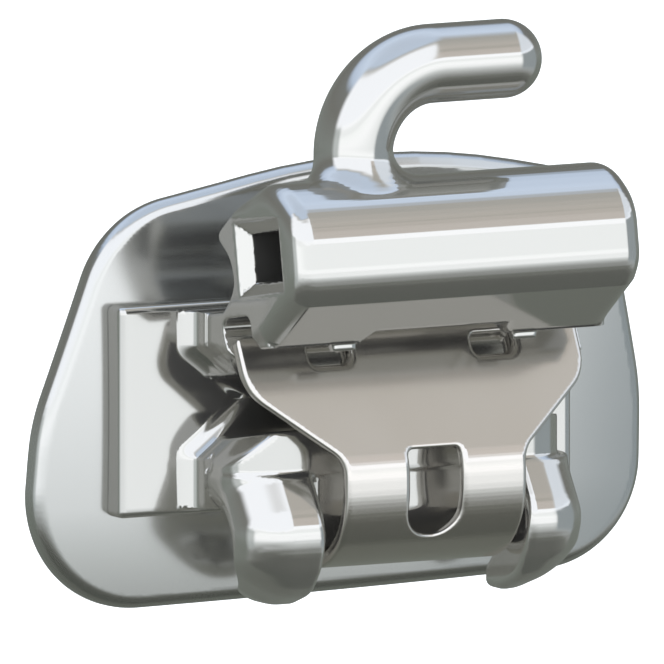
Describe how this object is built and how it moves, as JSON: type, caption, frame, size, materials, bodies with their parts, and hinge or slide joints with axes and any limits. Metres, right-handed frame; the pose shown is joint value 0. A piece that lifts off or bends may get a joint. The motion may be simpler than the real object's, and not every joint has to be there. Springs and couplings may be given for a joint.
{
  "type": "orthodontic bracket",
  "caption": "Self-ligating molar bracket: curved bonding pad, slotted body with auxiliary tube, tie wings and post hook, and a sliding spring clip that closes the archwire slot.",
  "frame": {"origin": "middle of the pad's bonding face, the face that is glued to the tooth", "axes": "+X along the arch, to the right as seen from the front; +Y into the tooth; +Z towards the gum, the side of the hook"},
  "size_m": [0.0063, 0.0025, 0.0055],
  "materials": {
    "pad_steel": "polished",
    "body_steel": "mirror polished",
    "clip_steel": "fine satin"
  },
  "bodies": {
    "bracket": {"bonding_pad": "pad_steel", "bracket_body": "body_steel"},
    "clip": {"spring_clip": "clip_steel"}
  },
  "joints": [
    {"name": "clip_slide", "type": "slide", "parent": "bracket", "child": "clip", "axis": [0, -0.3173, -0.9483], "range_m": [0, 0.00092]}
  ]
}
